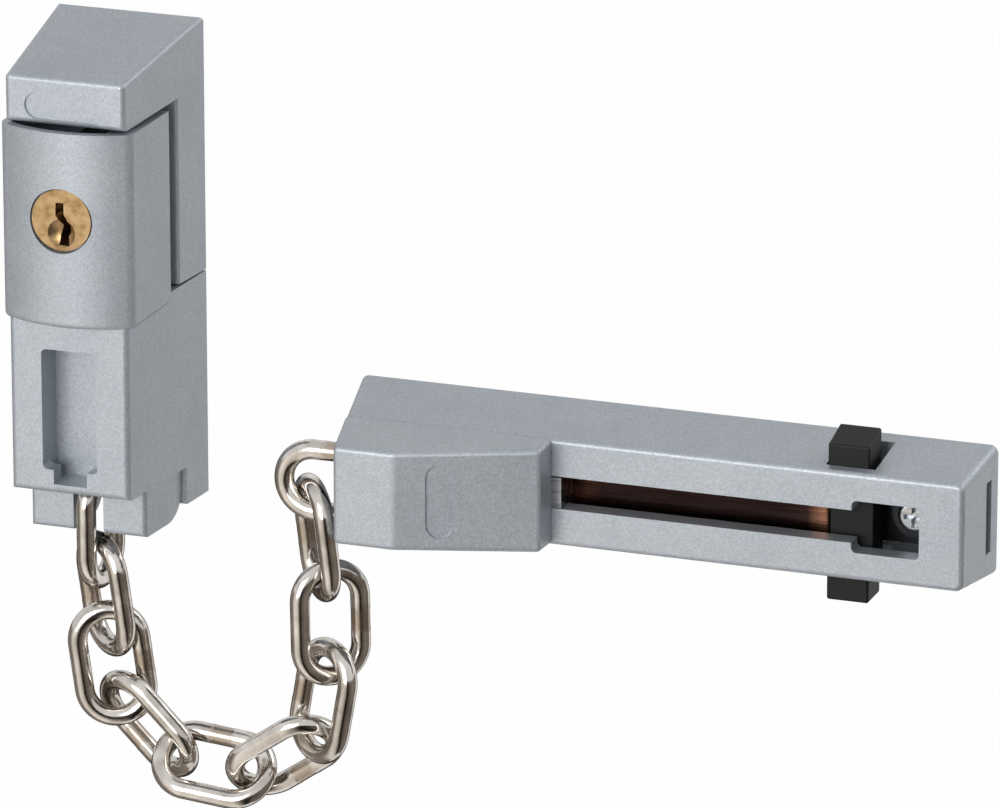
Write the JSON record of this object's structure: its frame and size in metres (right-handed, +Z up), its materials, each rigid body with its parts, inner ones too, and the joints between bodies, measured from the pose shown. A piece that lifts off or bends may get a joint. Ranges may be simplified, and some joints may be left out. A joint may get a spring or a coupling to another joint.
{
  "type": "door chain",
  "caption": "Door chain: a key lock unit for the frame, a slotted slide rail for the door, and a welded link chain that ends in a wedge-shaped slide head.",
  "frame": {"origin": "middle of the frame bracket's two screws on the wall plane, on the lock plug's axis", "axes": "+X along the rail from the lock unit to the rail's entry end, +Y into the wall, +Z up"},
  "size_m": [0.1889, 0.0603, 0.1494],
  "materials": {
    "painted_casting": "silver-grey metallic lacquer, fine grained",
    "zinc_steel": "bright zinc plate",
    "brass": "turned",
    "black_plastic": "moulded",
    "copper_bronze": "rolled spring strip",
    "nickel_steel": "nickel plate"
  },
  "bodies": {
    "fixed": {"frame_bracket": "painted_casting", "bracket_screws": "zinc_steel", "lock_body": "painted_casting", "pin_cover": "brass", "driver_pins": "brass", "pin_springs": "zinc_steel", "chain_foot": "painted_casting", "foot_pin": "zinc_steel", "foot_screws": "zinc_steel", "rail_housing": "painted_casting", "rail_base": "zinc_steel", "rail_screws": "zinc_steel", "rail_end_screw": "zinc_steel", "catch_spring": "copper_bronze", "spring_rivet": "zinc_steel"},
    "plug": {"plug": "brass", "key_pins": "brass", "plug_clip": "zinc_steel", "cam": "zinc_steel", "cam_screw": "zinc_steel"},
    "catch": {"catch": "black_plastic"},
    "head": {"chain_head": "painted_casting", "head_stud": "zinc_steel", "head_pin": "zinc_steel", "link_10": "nickel_steel"},
    "link_1": {"link_1": "nickel_steel"},
    "link_2": {"link_2": "nickel_steel"},
    "link_3": {"link_3": "nickel_steel"},
    "link_4": {"link_4": "nickel_steel"},
    "link_5": {"link_5": "nickel_steel"},
    "link_6": {"link_6": "nickel_steel"},
    "link_7": {"link_7": "nickel_steel"},
    "link_8": {"link_8": "nickel_steel"},
    "link_9": {"link_9": "nickel_steel"}
  },
  "joints": [
    {"name": "plug_turn", "type": "hinge", "parent": "fixed", "child": "plug", "pos_m": [0, -0.02, 0], "axis": [0, 1, 0], "range_deg": [0, 90]},
    {"name": "catch_press", "type": "slide", "parent": "fixed", "child": "catch", "axis": [0, 1, 0], "range_m": [0, 0.003], "stiffness_N_per_m": 900, "springref_m": -0.001, "deforming": ["catch_spring"]},
    {"name": "head_slide", "type": "slide", "parent": "fixed", "child": "head", "axis": [1, 0, 0], "range_m": [0, 0.051]},
    {"name": "link_1_swing", "type": "hinge", "parent": "fixed", "child": "link_1", "pos_m": [0, -0.0185, -0.0571], "axis": [0, -1, 0], "range_deg": [-0.5, 4.5]},
    {"name": "link_2_swing", "type": "hinge", "parent": "link_1", "child": "link_2", "pos_m": [-0.00005, -0.01915, -0.07268], "axis": [0, -1, 0], "range_deg": [-1, 1]},
    {"name": "link_3_swing", "type": "hinge", "parent": "link_2", "child": "link_3", "pos_m": [0.00225, -0.0204, -0.0861], "axis": [0, -1, 0], "range_deg": [-1, 41]},
    {"name": "link_4_swing", "type": "hinge", "parent": "link_3", "child": "link_4", "pos_m": [0.00365, -0.0207, -0.10032], "axis": [0, -1, 0], "range_deg": [-21, 1]},
    {"name": "link_5_swing", "type": "hinge", "parent": "link_4", "child": "link_5", "pos_m": [0.01595, -0.0216, -0.11093], "axis": [0, -1, 0], "range_deg": [-3, 1]},
    {"name": "link_6_swing", "type": "hinge", "parent": "link_5", "child": "link_6", "pos_m": [0.033, -0.0228, -0.1121], "axis": [0, -1, 0], "range_deg": [-43, 1]},
    {"name": "link_7_swing", "type": "hinge", "parent": "link_6", "child": "link_7", "pos_m": [0.04727, -0.02385, -0.10236], "axis": [0, -1, 0], "range_deg": [-9, 1]},
    {"name": "link_8_swing", "type": "hinge", "parent": "link_7", "child": "link_8", "pos_m": [0.05008, -0.0251, -0.08568], "axis": [0, -1, 0], "range_deg": [-21, 1]},
    {"name": "link_9_swing", "type": "hinge", "parent": "link_8", "child": "link_9", "pos_m": [0.04926, -0.02555, -0.06901], "axis": [0, -1, 0], "range_deg": [-5, 1]}
  ],
  "couplings": [
    {"joint": "link_1_swing", "follows": "head_slide", "rad_per_m": 1.369},
    {"joint": "link_2_swing", "follows": "head_slide", "rad_per_m": 0.0821},
    {"joint": "link_3_swing", "follows": "head_slide", "rad_per_m": 13.562},
    {"joint": "link_4_swing", "follows": "head_slide", "rad_per_m": -6.54},
    {"joint": "link_5_swing", "follows": "head_slide", "rad_per_m": -0.64},
    {"joint": "link_6_swing", "follows": "head_slide", "rad_per_m": -14.021},
    {"joint": "link_7_swing", "follows": "head_slide", "rad_per_m": -2.587},
    {"joint": "link_8_swing", "follows": "head_slide", "rad_per_m": -6.684},
    {"joint": "link_9_swing", "follows": "head_slide", "rad_per_m": -1.256}
  ]
}
